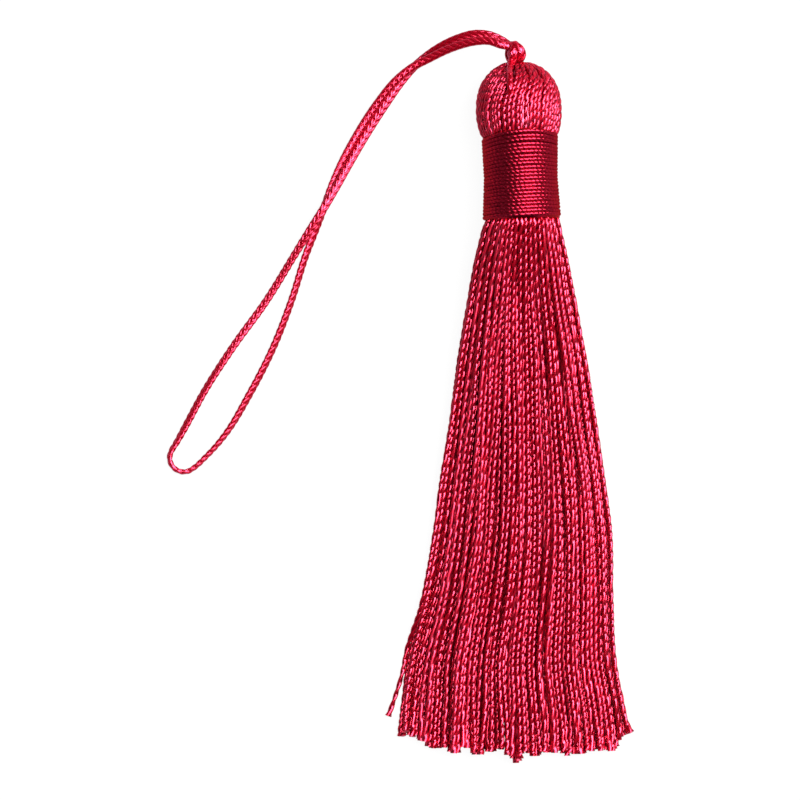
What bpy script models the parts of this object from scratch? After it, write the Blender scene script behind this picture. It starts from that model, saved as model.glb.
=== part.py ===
"""Silk tassel lying on its back on a flat surface, at z = 0.

The tassel's length runs along Y, with its head at +Y and the cut ends of its skirt at -Y.
Sizes are in millimetres and are turned to metres where a mesh is made.
The origin is on the surface below the middle of the tassel, its hanging loop left aside.
"""

import math

import bmesh
import bpy
import numpy as np
from mathutils import Vector

MM = 0.001
OBJECT_NAME = "silk_tassel"

# Lie of the head, neck and binding: their common axis leans a little in the plan view.
AXIS_HEIGHT = 4.60
HEAD_TOP = (0.70, 38.95)
LEAN = math.radians(1.6)

# Head: a ball of doubled-over thread. Each row is the depth below its top and the radius there.
HEAD_PROFILE = (
    (0.00, 1.20),
    (0.40, 2.45),
    (1.00, 3.40),
    (1.80, 4.05),
    (2.80, 4.56),
    (4.00, 4.88),
    (5.30, 4.97),
    (6.45, 4.90),
    (7.25, 4.70),
    (7.75, 4.46),
)
HEAD_RIDGES = 30
RIDGE_HEIGHT = 0.14
SLOPE_SPAN = 0.10
NECK_RADIUS = 3.58
NECK_SHOULDER = 7.80
NECK_END = 18.05

# Binding: one thread wound close round the neck.
BINDING_START = 8.19
BINDING_LENGTH = 9.69
BINDING_TURNS = 21
BINDING_BORE = 3.92
BINDING_STEPS = 24
BINDING_TOP_RADIUS = 4.38
BINDING_WAIST_RADIUS = 4.26
BINDING_FOOT_RADIUS = 4.50
TURN_RELIEF = 0.14

# Skirt: strands in upright columns, which open from a round bundle into a low heap on the surface.
COLUMNS = 36
MIDDLE_COLUMN = 4.3
STRAND_SIDE = 0.46
STRAND_SPACING = 0.71
ROOT_Y = 21.6
ROOT_RADIUS = 2.84
ROOT_SPACING = 0.51
ROOT_SIZE = 0.76
BUNDLE_RADIUS = 4.15
HEAP_PITCH = 0.62
SETTLING_PASSES = 40
SETTLING_RATE = 0.25
SCATTER_SEED = 7
# One row a cross-section: y, left edge, right edge, and how far the bundle has sunk into the heap.
# The last row is the strands' cut ends, which follow the hem's own line in y.
SKIRT = (
    (19.0, -3.70, 6.00, 0.08),
    (9.0, -5.75, 8.10, 0.38),
    (-3.0, -7.45, 10.15, 0.66),
    (-16.0, -9.30, 11.80, 0.88),
    (-29.0, -12.10, 12.25, 1.00),
    (-40.3, -13.15, 14.00, 1.00),
)
CORNER_RISE = 2.3
LEFT_ROUNDING = 3
RIGHT_ROUNDING = 6
END_SCATTER = 0.50
SIDE_SCATTER = 0.08
SHIFT_KEPT = 0.9
STRAY_REACH = 0.80
TUFT_REACH = 1.1

# Knot on top of the head, and the short stretch of cord below it that lies on the head.
KNOT_CENTRE = (0.42, 40.42, 4.80)
KNOT_RADII = (1.00, 1.14, 1.10)
KNOT_WRAP_RADIUS = 0.84
KNOT_WRAP_THICKNESS = 0.42
KNOT_WRAP_TURN = (math.radians(62), math.radians(-30), 0)
KNOT_SEGMENTS = 14
KNOT_RINGS = 9
WRAP_SEGMENTS = 18
WRAP_SIDES = 8
CORD_RADIUS = 0.40
CORD_LIFT = 0.34
HEAD_LOOP_START = (-0.10, 39.70, 6.18)
# One row a point of the short stretch on the ball: x, and the depth below the head's top.
HEAD_LOOP = (
    (-0.42, 0.30),
    (-0.46, 0.90),
    (-0.42, 1.70),
    (-0.34, 2.60),
    (-0.26, 3.60),
)

# Hanging loop: x, y and z of the cord's centre, from the knot round the loop and back to the knot.
LOOP_ROUTE = (
    (-1.22, 41.85, 4.10),
    (-2.47, 42.39, 3.95),
    (-4.20, 42.57, 3.50),
    (-6.04, 42.15, 2.75),
    (-7.94, 41.34, 1.80),
    (-9.54, 40.35, 1.00),
    (-11.16, 39.00, 0.52),
    (-12.54, 37.41, 0.45),
    (-14.52, 34.58, 0.45),
    (-17.05, 30.60, 0.45),
    (-18.65, 27.82, 0.84),
    (-20.14, 25.13, 1.35),
    (-21.68, 22.48, 1.64),
    (-23.31, 19.93, 1.42),
    (-24.92, 17.35, 0.90),
    (-28.29, 11.90, 0.45),
    (-32.21, 6.46, 0.45),
    (-35.74, 0.92, 0.45),
    (-37.25, -1.90, 0.45),
    (-38.02, -3.33, 0.45),
    (-38.84, -4.77, 0.45),
    (-39.30, -5.51, 0.45),
    (-39.50, -6.28, 0.45),
    (-39.32, -7.04, 0.45),
    (-38.82, -7.62, 0.45),
    (-38.11, -7.91, 0.45),
    (-37.35, -7.85, 0.45),
    (-36.72, -7.48, 0.45),
    (-35.34, -6.21, 0.45),
    (-34.05, -4.85, 0.45),
    (-32.90, -3.39, 0.45),
    (-30.37, 0.84, 0.45),
    (-27.54, 6.38, 0.45),
    (-25.39, 11.90, 0.45),
    (-23.64, 17.42, 0.45),
    (-22.64, 19.98, 0.45),
    (-21.68, 22.53, 0.45),
    (-20.72, 25.17, 0.45),
    (-19.55, 27.85, 0.45),
    (-18.09, 30.57, 0.58),
    (-15.41, 34.74, 0.95),
    (-13.17, 37.43, 1.45),
    (-11.07, 39.04, 1.74),
    (-9.44, 39.85, 2.15),
    (-7.79, 40.63, 2.85),
    (-5.97, 41.27, 3.75),
    (-4.20, 41.65, 4.50),
    (-2.47, 41.66, 5.05),
    (-1.16, 41.20, 5.34),
)
LOOP_STEP = 2.6
LOOP_TURN = math.radians(24)
SPAN_SAMPLES = 12

CHERRY = (0.50, 0.006, 0.045, 1)
GARNET = (0.36, 0.004, 0.028, 1)
MADDER = (0.42, 0.005, 0.040, 1)


def clear_scene():
    for item in list(bpy.data.objects):
        bpy.data.objects.remove(item)


def new_collection(name):
    collection = bpy.data.collections.new(name)
    bpy.context.scene.collection.children.link(collection)
    return collection


def silk(name, colour, roughness):
    material = bpy.data.materials.new(name)
    material.use_nodes = True
    shader = material.node_tree.nodes["Principled BSDF"]
    shader.inputs["Base Color"].default_value = colour
    shader.inputs["Roughness"].default_value = roughness
    shader.inputs["Metallic"].default_value = 0.0
    material.diffuse_color = colour
    return material


def add_object(name, data, collection):
    item = bpy.data.objects.new(name, data)
    collection.objects.link(item)
    return item


def finish(item, material):
    item.data.materials.clear()
    item.data.materials.append(material)
    item.data.shade_smooth()
    item.data.set_sharp_from_angle(angle=math.radians(50))


def lay_on_axis(item):
    """Lay a shape turned round its own Z along the tassel's axis, its zero at the head's top."""
    item.location = Vector((*HEAD_TOP, AXIS_HEIGHT)) * MM
    item.rotation_euler = (-math.pi / 2, 0, LEAN)


def turned(name, profile, steps, collection):
    """Turn a profile round Z. Its rows are radius and height, and run down its outer side."""
    points = [Vector((radius, 0, height)) * MM for radius, height in profile]
    edges = [(i, i + 1) for i in range(len(points) - 1)]
    mesh = bpy.data.meshes.new(name)
    mesh.from_pydata(points, edges, [])
    item = add_object(name, mesh, collection)
    screw = item.modifiers.new("Turn", "SCREW")
    screw.steps = steps
    screw.render_steps = steps
    screw.use_merge_vertices = True
    screw.merge_threshold = 1e-6
    return item


def rods(name, paths, radius, resolution, collection, tilt=0.0, root_size=1.0):
    """Rods along straight-sided paths: square for a resolution of 0, eight-sided for 2."""
    curve = bpy.data.curves.new(name, "CURVE")
    curve.dimensions = "3D"
    curve.twist_mode = "Z_UP"
    curve.bevel_depth = radius * MM
    curve.bevel_resolution = resolution
    curve.use_fill_caps = True
    for path in paths:
        spline = curve.splines.new("POLY")
        spline.points.add(len(path) - 1)
        for point, place in zip(spline.points, path):
            point.co = (*(Vector(place) * MM), 1)
            point.tilt = tilt
        spline.points[0].radius = root_size
    return add_object(name, curve, collection)


def closed_mesh(item):
    """Swap a curve or a modified object for its plain mesh, with its seams and caps welded."""
    name, collection = item.name, item.users_collection[0]
    bpy.context.view_layer.update()
    graph = bpy.context.evaluated_depsgraph_get()
    mesh = bpy.data.meshes.new_from_object(item.evaluated_get(graph))
    work = bmesh.new()
    work.from_mesh(mesh)
    bmesh.ops.remove_doubles(work, verts=work.verts, dist=1e-6)
    work.to_mesh(mesh)
    work.free()
    place = item.matrix_world.copy()
    bpy.data.objects.remove(item)
    solid = add_object(name, mesh, collection)
    solid.matrix_world = place
    return solid


def join_on(item, extra, cutters):
    """Make one body of an object and an overlapping extra, which stays behind as a guide."""
    for collection in extra.users_collection:
        collection.objects.unlink(extra)
    cutters.objects.link(extra)
    extra.hide_render = True
    extra.display_type = "WIRE"
    union = item.modifiers.new("Join " + extra.name, "BOOLEAN")
    union.operation = "UNION"
    union.solver = "EXACT"
    union.use_self = True
    union.object = extra


def smooth_path(points, step, turn):
    """Read a smooth curve through the points, and keep a place every step or turn on it."""
    places = np.array(points)
    spans = np.diff(places, axis=0)
    lengths = np.linalg.norm(spans, axis=1)[:, None]
    slopes = spans / lengths
    before, after = lengths[:-1], lengths[1:]
    bends = (slopes[:-1] * after + slopes[1:] * before) / (before + after)
    headings = np.vstack((slopes[:1], bends, slopes[-1:]))
    fine = []
    for i, span in enumerate(spans):
        for t in np.linspace(0, 1, SPAN_SAMPLES, endpoint=False):
            leave = headings[i] * lengths[i] * t * (1 - t) ** 2
            arrive = headings[i + 1] * lengths[i] * t**2 * (1 - t)
            fine.append(Vector(places[i] + span * t**2 * (3 - 2 * t) + leave - arrive))
    fine.append(Vector(places[-1]))
    kept = [fine[0]]
    heading = fine[1] - fine[0]
    for here, following in zip(fine[1:-1], fine[2:]):
        ahead = following - here
        if (here - kept[-1]).length >= step or heading.angle(ahead) >= turn:
            kept.append(here)
            heading = ahead
    kept.append(fine[-1])
    return kept


def above_head(x, depth, lift):
    """The place over the ball's upper side that is a lift away from it, square to its surface."""
    depths, radii = zip(*HEAD_PROFILE)
    around = (depth - SLOPE_SPAN, depth, depth + SLOPE_SPAN)
    before, radius, after = np.interp(around, depths, radii)
    outward = Vector((before - after, 2 * SLOPE_SPAN)).normalized() * lift
    reach = radius + outward.y
    aside = x - HEAD_TOP[0]
    return (x, HEAD_TOP[1] - depth - outward.x, AXIS_HEIGHT + math.sqrt(reach**2 - aside**2))


def build_head(collection):
    """Ball and neck, ridged by the doubled-over threads, with a small flat where the ball rests."""
    ball = [(radius, -depth) for depth, radius in HEAD_PROFILE]
    neck = [(NECK_RADIUS, -NECK_SHOULDER), (NECK_RADIUS, -NECK_END)]
    profile = [(0, 0), *ball, *neck, (0, -NECK_END)]
    item = turned("thread_hank", profile, HEAD_RIDGES * 2, collection)
    lay_on_axis(item)
    item = closed_mesh(item)
    place = item.matrix_world.copy()
    item.matrix_world.identity()
    for vertex in item.data.vertices:
        x, y, z = vertex.co / MM
        radius = math.hypot(x, y)
        if radius > 0 and -z < NECK_SHOULDER:
            share = min(1, radius / NECK_RADIUS)
            ridge = RIDGE_HEIGHT * share * math.cos(HEAD_RIDGES * math.atan2(y, x))
            vertex.co.xy *= 1 + ridge / radius
        vertex.co = place @ vertex.co
        vertex.co.z = max(vertex.co.z, 0)
    return item


def strand_places():
    """Each strand's place across the skirt and up its column, both -1 to 1, and its level there.

    Neighbouring columns start a third of a step apart, so the narrow ones at the neck interlock.
    """
    places = []
    for column in range(COLUMNS):
        across = (2 * column + 1) / COLUMNS - 1
        count = max(1, round(MIDDLE_COLUMN * math.sqrt(1 - across**2)))
        stagger = (column % 3 + 0.5) / 3
        for level in range(count):
            places.append((across, 2 * (level + stagger) / count - 1, level))
    return np.array(places).T


def settle(places, spacing):
    """Push the strands of one cross-section apart where they crowd, and keep them off the floor."""
    places = places.copy()
    for _ in range(SETTLING_PASSES):
        between = places[:, None] - places[None, :]
        distance = np.linalg.norm(between, axis=2)
        np.fill_diagonal(distance, np.inf)
        crowding = np.clip(spacing - distance, 0, None) / distance
        places += SETTLING_RATE * (between * crowding[:, :, None]).sum(axis=1)
        places[:, 1] = np.maximum(places[:, 1], STRAND_SIDE / 2)
    return places


def strand_paths():
    """One path of centres a strand, from inside the neck to its cut end."""
    rng = np.random.default_rng(SCATTER_SEED)
    across, up, level = strand_places()
    chord = np.sqrt(1 - across**2) * up
    bundle = AXIS_HEIGHT + BUNDLE_RADIUS * chord
    heap = STRAND_SIDE / 2 + HEAP_PITCH * level
    middle = HEAD_TOP[0] + math.tan(LEAN) * (HEAD_TOP[1] - ROOT_Y)
    drawn = np.column_stack((middle + ROOT_RADIUS * across, AXIS_HEIGHT + ROOT_RADIUS * chord))
    settled = settle(drawn, ROOT_SPACING)
    sections = [settled]
    for _, left, right, sunk in SKIRT:
        shift = settled - drawn
        half = (right - left - STRAND_SIDE) / 2
        x = (left + right) / 2 + half * across
        drawn = np.column_stack((x, bundle + (heap - bundle) * sunk))
        scatter = rng.normal(0, SIDE_SCATTER, drawn.shape)
        settled = settle(drawn + shift * SHIFT_KEPT + scatter, STRAND_SPACING)
        sections.append(settled)
    sections = np.array(sections)
    sections[-1, 0, 0] -= STRAY_REACH
    y = np.repeat([[ROOT_Y], *([row[0]] for row in SKIRT)], across.size, axis=1)
    rounding = np.where(across < 0, LEFT_ROUNDING, RIGHT_ROUNDING)
    y[-1] += CORNER_RISE * np.abs(across) ** rounding
    y[-1] += rng.uniform(-END_SCATTER, END_SCATTER, across.size)
    y[-1, 0] += STRAY_REACH
    y[-1, across.size // 2] -= TUFT_REACH
    return np.stack((sections[:, :, 0], y, sections[:, :, 1]), axis=2).transpose(1, 0, 2)


def build_hank(collection, cutters):
    item = build_head(collection)
    corner = STRAND_SIDE / math.sqrt(2)
    strands = rods("strands", strand_paths(), corner, 0, cutters, math.pi / 4, ROOT_SIZE)
    join_on(item, closed_mesh(strands), cutters)
    return item


def build_binding(collection):
    """A ring in the form of the wound thread, with a ridge for each turn and a slight waist."""
    places = np.linspace(0, 1, 2 * BINDING_TURNS + 1)
    radii = (BINDING_TOP_RADIUS, BINDING_WAIST_RADIUS, BINDING_FOOT_RADIUS)
    outer = np.interp(places, (0, 0.5, 1), radii)
    outer[::2] -= TURN_RELIEF
    heights = -BINDING_START - BINDING_LENGTH * places
    profile = [*zip(outer, heights), (BINDING_BORE, heights[-1]), (BINDING_BORE, heights[0])]
    profile.append(profile[0])
    item = turned("binding", profile, BINDING_STEPS, collection)
    lay_on_axis(item)
    return closed_mesh(item)


def build_knot(collection, cutters):
    """A tight round knot with one turn of the cord wrapped slantwise over it."""
    mesh = bpy.data.meshes.new("cord_knot")
    work = bmesh.new()
    bmesh.ops.create_uvsphere(work, u_segments=KNOT_SEGMENTS, v_segments=KNOT_RINGS, radius=MM)
    bmesh.ops.scale(work, vec=KNOT_RADII, verts=work.verts)
    work.to_mesh(mesh)
    work.free()
    item = add_object("cord_knot", mesh, collection)
    item.location = Vector(KNOT_CENTRE) * MM
    bpy.ops.mesh.primitive_torus_add(
        major_radius=KNOT_WRAP_RADIUS * MM,
        minor_radius=KNOT_WRAP_THICKNESS * MM,
        major_segments=WRAP_SEGMENTS,
        minor_segments=WRAP_SIDES,
        location=item.location,
        rotation=KNOT_WRAP_TURN,
    )
    wrap = bpy.context.object
    wrap.name = "knot_wrap"
    join_on(item, wrap, cutters)
    return item


def build_head_loop(collection):
    """The cord's short stretch that follows the ball's upper side, just clear of it."""
    lift = RIDGE_HEIGHT + CORD_RADIUS + CORD_LIFT
    path = [HEAD_LOOP_START, *(above_head(x, depth, lift) for x, depth in HEAD_LOOP)]
    path = smooth_path(path, LOOP_STEP / 2, LOOP_TURN)
    return closed_mesh(rods("head_loop", [path], CORD_RADIUS, 2, collection))


def build_hanging_loop(collection):
    """The braided cord's free run, off the knot, down to the surface, round and back."""
    path = smooth_path(LOOP_ROUTE, LOOP_STEP, LOOP_TURN)
    return closed_mesh(rods("hanging_loop", [path], CORD_RADIUS, 2, collection))


def main():
    clear_scene()
    tassel = new_collection(OBJECT_NAME)
    cutters = new_collection("cutters")
    finish(build_hank(tassel, cutters), silk("hank_silk", CHERRY, 0.38))
    finish(build_binding(tassel), silk("binding_silk", GARNET, 0.34))
    finish(build_knot(tassel, cutters), silk("knot_silk", MADDER, 0.42))
    finish(build_head_loop(tassel), silk("head_loop_silk", MADDER, 0.42))
    finish(build_hanging_loop(tassel), silk("cord_silk", MADDER, 0.42))


main()
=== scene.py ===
"""Silk tassel, dressed: two-ply threads, the wound binding, and the plaited cord with its knot."""

import math

import bmesh
import bpy
import numpy as np
from bpy.props import FloatProperty, FloatVectorProperty, IntProperty, PointerProperty
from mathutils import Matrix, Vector


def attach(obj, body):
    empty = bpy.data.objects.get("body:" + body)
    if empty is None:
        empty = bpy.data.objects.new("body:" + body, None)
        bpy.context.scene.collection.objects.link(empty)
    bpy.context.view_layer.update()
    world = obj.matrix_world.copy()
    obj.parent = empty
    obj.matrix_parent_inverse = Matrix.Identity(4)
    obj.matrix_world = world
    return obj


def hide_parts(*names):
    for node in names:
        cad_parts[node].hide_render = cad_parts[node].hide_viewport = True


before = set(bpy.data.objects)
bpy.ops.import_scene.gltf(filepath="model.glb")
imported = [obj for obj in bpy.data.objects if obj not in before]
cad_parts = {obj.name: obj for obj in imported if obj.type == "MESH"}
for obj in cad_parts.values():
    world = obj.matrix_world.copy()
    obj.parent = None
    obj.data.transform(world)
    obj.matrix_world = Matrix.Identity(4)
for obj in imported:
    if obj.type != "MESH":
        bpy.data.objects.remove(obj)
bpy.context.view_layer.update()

bl_info = {
    "name": "Silk Tassel",
    "version": (1, 0, 0),
    "blender": (4, 5, 0),
    "location": "3D View > Sidebar > Tassel",
    "description": "Makes the threads, binding and plaited cord of a silk tassel",
    "category": "Add Mesh",
}

MM = 0.001

# Lie of the head, neck and binding, in millimetres: their common axis leans a little in plan.
AXIS_HEIGHT = 4.60
HEAD_TOP = (0.70, 38.95)
LEAN = math.radians(1.6)

# Outer surface of the head's ball: depth below its top, and radius there.
HEAD_PROFILE = (
    (-0.26, 1.45), (-0.08, 2.00), (0.16, 2.45), (0.50, 3.00), (1.10, 3.62), (2.00, 4.26),
    (3.00, 4.68), (4.10, 4.92), (5.30, 4.99), (6.40, 4.92), (7.20, 4.77), (7.90, 4.58),
)
# At the ball's top its threads turn down into the hole that the cord fills.
CROWN_PROFILE = ((0.80, 0.40), (0.10, 0.62), (-0.24, 1.00))
# The ball's threads go on down inside the binding.
NECK_PROFILE = ((8.45, 4.18), (9.40, 3.70))

# Binding: its ends along the axis, and its radius at the top, waist and foot.
BINDING_START = 8.15
BINDING_END = 17.85
BINDING_RADII = (4.42, 4.28, 4.54)
# Its first turns ride up on the ball above: how far up and out, and over how many turns it fades.
RIDE_UP = 0.80
RIDE_OUT = 0.36
RIDE_TURNS = 9.0

# Skirt. One row a cross-section: y, left edge, right edge, how far the round bundle has sunk.
SKIRT = (
    (20.9, -3.05, 5.60, 0.00), (20.0, -3.45, 5.78, 0.02), (18.4, -3.85, 6.15, 0.08),
    (16.0, -4.43, 6.73, 0.18), (11.9, -5.23, 7.53, 0.32), (5.0, -6.38, 8.91, 0.50),
    (-1.9, -7.30, 9.95, 0.66), (-8.8, -8.34, 11.10, 0.79), (-15.7, -9.26, 11.79, 0.88),
    (-22.6, -10.52, 12.02, 0.95), (-29.5, -12.20, 12.35, 1.00), (-34.4, -12.90, 13.35, 1.00),
    (-37.0, -13.20, 13.80, 1.00), (-39.0, -13.35, 14.15, 1.00),
)
# A thread that strays from the left edge: x, y and z, and how far above them it leaves the rest.
STRAY = ((-11.9, -28.0, 0.35), (-12.55, -31.2, 0.40), (-13.48, -34.3, 0.36), (-14.15, -36.2, 0.33))
STRAY_LEAD = 2
# The hem's line, from left to right: x and y.
HEM = (
    (-13.4, -37.8), (-11.6, -38.7), (-9.3, -39.8), (-4.7, -40.35), (0.1, -40.5), (0.7, -42.0),
    (1.4, -40.7), (3.7, -40.8), (8.7, -40.6), (11.6, -40.3), (12.8, -39.3), (14.1, -38.1),
)
# Where the threads begin inside the neck, and the bundle's radius there and below the binding.
ROOT_Y = 22.6
ROOT_RADIUS = 3.30
BUNDLE_RADIUS = 4.25
# Height of one level of threads in the low heap.
HEAP_PITCH = 0.52

# Hanging loop: x, y and z of the cord's centre, from the knot round the loop and back.
LOOP_ROUTE = (
    (-1.22, 41.85, 4.10), (-2.47, 42.39, 3.95), (-4.20, 42.57, 3.50), (-6.04, 42.15, 2.75),
    (-7.94, 41.34, 1.80), (-9.54, 40.35, 1.00), (-11.16, 39.00, 0.52), (-12.54, 37.41, 0.45),
    (-14.52, 34.58, 0.45), (-17.05, 30.60, 0.45), (-18.65, 27.82, 0.84), (-20.14, 25.13, 1.35),
    (-21.68, 22.48, 1.64), (-23.31, 19.93, 1.42), (-24.92, 17.35, 0.90), (-28.29, 11.90, 0.45),
    (-32.21, 6.46, 0.45), (-35.74, 0.92, 0.45), (-37.25, -1.90, 0.45), (-38.02, -3.33, 0.45),
    (-38.84, -4.77, 0.45), (-39.30, -5.51, 0.45), (-39.50, -6.28, 0.45), (-39.32, -7.04, 0.45),
    (-38.82, -7.62, 0.45), (-38.11, -7.91, 0.45), (-37.35, -7.85, 0.45), (-36.72, -7.48, 0.45),
    (-35.34, -6.21, 0.45), (-34.05, -4.85, 0.45), (-32.90, -3.39, 0.45), (-30.37, 0.84, 0.45),
    (-27.54, 6.38, 0.45), (-25.39, 11.90, 0.45), (-23.64, 17.42, 0.45), (-22.64, 19.98, 0.45),
    (-21.68, 22.53, 0.45), (-20.72, 25.17, 0.45), (-19.55, 27.85, 0.45), (-18.09, 30.57, 0.58),
    (-15.41, 34.74, 0.95), (-13.17, 37.43, 1.45), (-11.07, 39.04, 1.74), (-9.44, 39.85, 2.15),
    (-7.79, 40.63, 2.85), (-5.97, 41.27, 3.75), (-4.20, 41.65, 4.50), (-2.47, 41.66, 5.05),
    (-1.16, 41.20, 5.34),
)
# The cord's ends inside the knot, before and after its free route.
KNOT_ENTRY = (-0.20, 41.15, 4.40)
KNOT_RETURN = (-0.20, 41.05, 5.30)
# How the flat cord rolls on its edge: share of its length, and the turn there in degrees.
CORD_ROLL = (
    (0.00, 0), (0.24, 0), (0.30, 34), (0.36, 24), (0.42, 42), (0.46, 40), (0.51, 84), (0.55, 72),
    (0.60, 44), (0.70, 48), (0.78, 34), (0.85, 0), (1.00, 0),
)


# ---- node trees

# Steps through the noise that give each strand, seed and tint a run of its own.
STRAND_STEP = 7.31
SEED_STEP = 3.7
TINT_STEP = 31.0


class Wiring:
    """Adds nodes to a tree and joins them, with sockets given by name or number."""

    def __init__(self, tree):
        self.tree = tree

    def add(self, kind, sockets=None, **settings):
        node = self.tree.nodes.new(kind)
        for name, value in settings.items():
            setattr(node, name, value)
        for name, value in (sockets or {}).items():
            self.feed(node.inputs[name], value)
        return node

    def feed(self, socket, value):
        if isinstance(value, bpy.types.NodeSocket):
            self.tree.links.new(value, socket)
        else:
            socket.default_value = value

    def made(self, kind, sockets=None, **settings):
        """The first output of a new node."""
        return self.add(kind, sockets, **settings).outputs[0]

    def math(self, operation, *values):
        return self.made("ShaderNodeMath", dict(enumerate(values)), operation=operation)

    def times(self, value, factor):
        return self.math("MULTIPLY", value, factor)

    def over(self, value, divisor):
        return self.math("DIVIDE", value, divisor)

    def minus(self, value, less):
        return self.math("SUBTRACT", value, less)

    def vector(self, operation, *values):
        return self.made("ShaderNodeVectorMath", dict(enumerate(values)), operation=operation)

    def scaled(self, vector, factor):
        return self.made("ShaderNodeVectorMath", {0: vector, "Scale": factor}, operation="SCALE")

    def random(self, low, high, item, seed):
        sockets = {2: low, 3: high, "ID": item, "Seed": seed}
        return self.add("FunctionNodeRandomValue", sockets).outputs[1]

    def stored(self, geometry, name, value, kind="FLOAT"):
        sockets = {"Geometry": geometry, "Name": name, "Value": value}
        return self.made("GeometryNodeStoreNamedAttribute", sockets, data_type=kind)

    def placed(self, geometry, socket, value):
        sockets = {"Geometry": geometry, socket: value}
        return self.made("GeometryNodeSetPosition", sockets)

    def ring(self, sides):
        """A round profile of radius 1, and its own places, kept as each point's side."""
        ring = self.made("GeometryNodeCurvePrimitiveCircle", {"Resolution": sides, "Radius": 1.0})
        place = self.made("GeometryNodeInputPosition")
        return self.stored(ring, "side", place, "FLOAT_VECTOR"), place

    def swept(self, line, ring, scale=1.0):
        """A solid with the ring's section along the line."""
        sockets = {"Curve": line, "Profile Curve": ring, "Scale": scale, "Fill Caps": True}
        return self.made("GeometryNodeCurveToMesh", sockets)


SOCKET_KINDS = {float: "Float", int: "Int", tuple: "Color"}


def new_tree(name, kind, inputs, outputs):
    """A node group with named inputs and outputs, each with its default, or a kind of socket."""
    tree = bpy.data.node_groups.new(name, kind)
    for direction, sockets in (("INPUT", inputs), ("OUTPUT", outputs)):
        for socket_name, value in sockets.items():
            bare = isinstance(value, str)
            socket_type = "NodeSocket" + (value if bare else SOCKET_KINDS[type(value)])
            socket = tree.interface.new_socket(
                name=socket_name, in_out=direction, socket_type=socket_type
            )
            if not bare:
                socket.default_value = value
    wiring = Wiring(tree)
    given = wiring.add("NodeGroupInput").outputs
    result = wiring.add("NodeGroupOutput").inputs
    return tree, wiring, given, result


def finish_tree(w, given, result, mesh):
    """Press the mesh flat where it meets the surface it lies on, and give it its material."""
    place = w.made("GeometryNodeInputPosition")
    mesh = w.placed(mesh, "Position", w.vector("MAXIMUM", place, (-1.0, -1.0, 0.0)))
    smooth = w.made("GeometryNodeSetShadeSmooth", {0: mesh})
    real = w.made("GeometryNodeRealizeInstances", {0: smooth})
    sockets = {"Geometry": real, "Material": given["Material"]}
    w.feed(result["Geometry"], w.made("GeometryNodeSetMaterial", sockets))


def twisted_thread_tree():
    """A thread along every spline: two plies turned round each other, flared at the cut end."""
    inputs = {
        "Geometry": "Geometry",
        "Thread Width": 0.00058,
        "Waist": 0.66,
        "Sides": 12,
        "Ring Spacing": 0.00024,
        "Lay Length": 0.0021,
        "Lay Spread": 0.2,
        "Uneven Twist": 5.0,
        "Wander": 0.0,
        "Wander Length": 0.007,
        "Flare": 0.0,
        "Flare Length": 0.0015,
        "Seed": 0,
        "Material": "Material",
    }
    outputs = {"Geometry": "Geometry"}
    _, w, given, result = new_tree("twisted thread", "GeometryNodeTree", inputs, outputs)
    sockets = {"Curve": given["Geometry"]}
    rounded = w.made("GeometryNodeCurveSplineType", sockets, spline_type="CATMULL_ROM")
    sockets = {"Curve": rounded, "Length": given["Ring Spacing"]}
    line = w.made("GeometryNodeResampleCurve", sockets, mode="LENGTH")
    run = w.add("GeometryNodeSplineParameter").outputs["Length"]
    whole = w.add("GeometryNodeSplineLength").outputs["Length"]
    strand = w.add("GeometryNodeCurveOfPoint").outputs["Curve Index"]
    left = w.minus(whole, run)
    line = w.stored(line, "run", w.over(run, MM))
    tint = w.random(0.0, 1.0, strand, w.math("ADD", given["Seed"], 1.0))
    line = w.stored(line, "tint", tint)

    sockets = {
        0: w.over(run, given["Wander Length"]),
        1: w.times(strand, STRAND_STEP),
        2: w.times(given["Seed"], SEED_STEP),
    }
    spot = w.made("ShaderNodeCombineXYZ", sockets)
    uneven = w.add("ShaderNodeTexNoise", {"Vector": spot, "Scale": 1.0, "Detail": 2.0}).outputs
    away = w.vector("SUBTRACT", uneven["Color"], (0.5, 0.5, 0.5))
    away = w.add("ShaderNodeSeparateXYZ", {0: away}).outputs
    aside = w.times(w.times(away[0], 2.0), given["Wander"])
    lifted = w.times(w.math("ABSOLUTE", away[2]), given["Wander"])
    step = w.made("ShaderNodeCombineXYZ", {0: aside, 1: 0.0, 2: lifted})
    line = w.placed(line, "Offset", step)

    spread = w.times(given["Lay Spread"], w.random(-1.0, 1.0, strand, given["Seed"]))
    turns = w.over(run, given["Lay Length"])
    turns = w.times(turns, w.math("ADD", spread, 1.0))
    start = w.random(0.0, math.tau, strand, w.math("ADD", given["Seed"], 2.0))
    tilt = w.math("MULTIPLY_ADD", turns, math.tau, start)
    tilt = w.math("MULTIPLY_ADD", away[1], w.times(given["Uneven Twist"], 2.0), tilt)
    line = w.made("GeometryNodeSetCurveTilt", {"Curve": line, "Tilt": tilt})

    ring, place = w.ring(given["Sides"])
    axes = w.add("ShaderNodeSeparateXYZ", {0: place}).outputs
    # Two round plies side by side, each its centre's distance from the middle and its radius.
    centre = w.times(w.minus(1.0, w.math("POWER", given["Waist"], 2.0)), 0.5)
    ply = w.minus(1.0, centre)
    chord = w.math("POWER", w.times(centre, axes[1]), 2.0)
    chord = w.math("SQRT", w.minus(w.math("POWER", ply, 2.0), chord))
    reach = w.math("MULTIPLY_ADD", w.math("ABSOLUTE", axes[0]), centre, chord)
    ring = w.placed(ring, "Position", w.scaled(place, reach))

    near_end = w.math("MINIMUM", w.over(left, given["Flare Length"]), 1.0)
    near_end = w.math("POWER", w.minus(1.0, near_end), 2.0)
    scale = w.math("MULTIPLY_ADD", near_end, given["Flare"], 1.0)
    scale = w.times(scale, w.times(given["Thread Width"], 0.5))
    finish_tree(w, given, result, w.swept(line, ring, scale))


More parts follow.
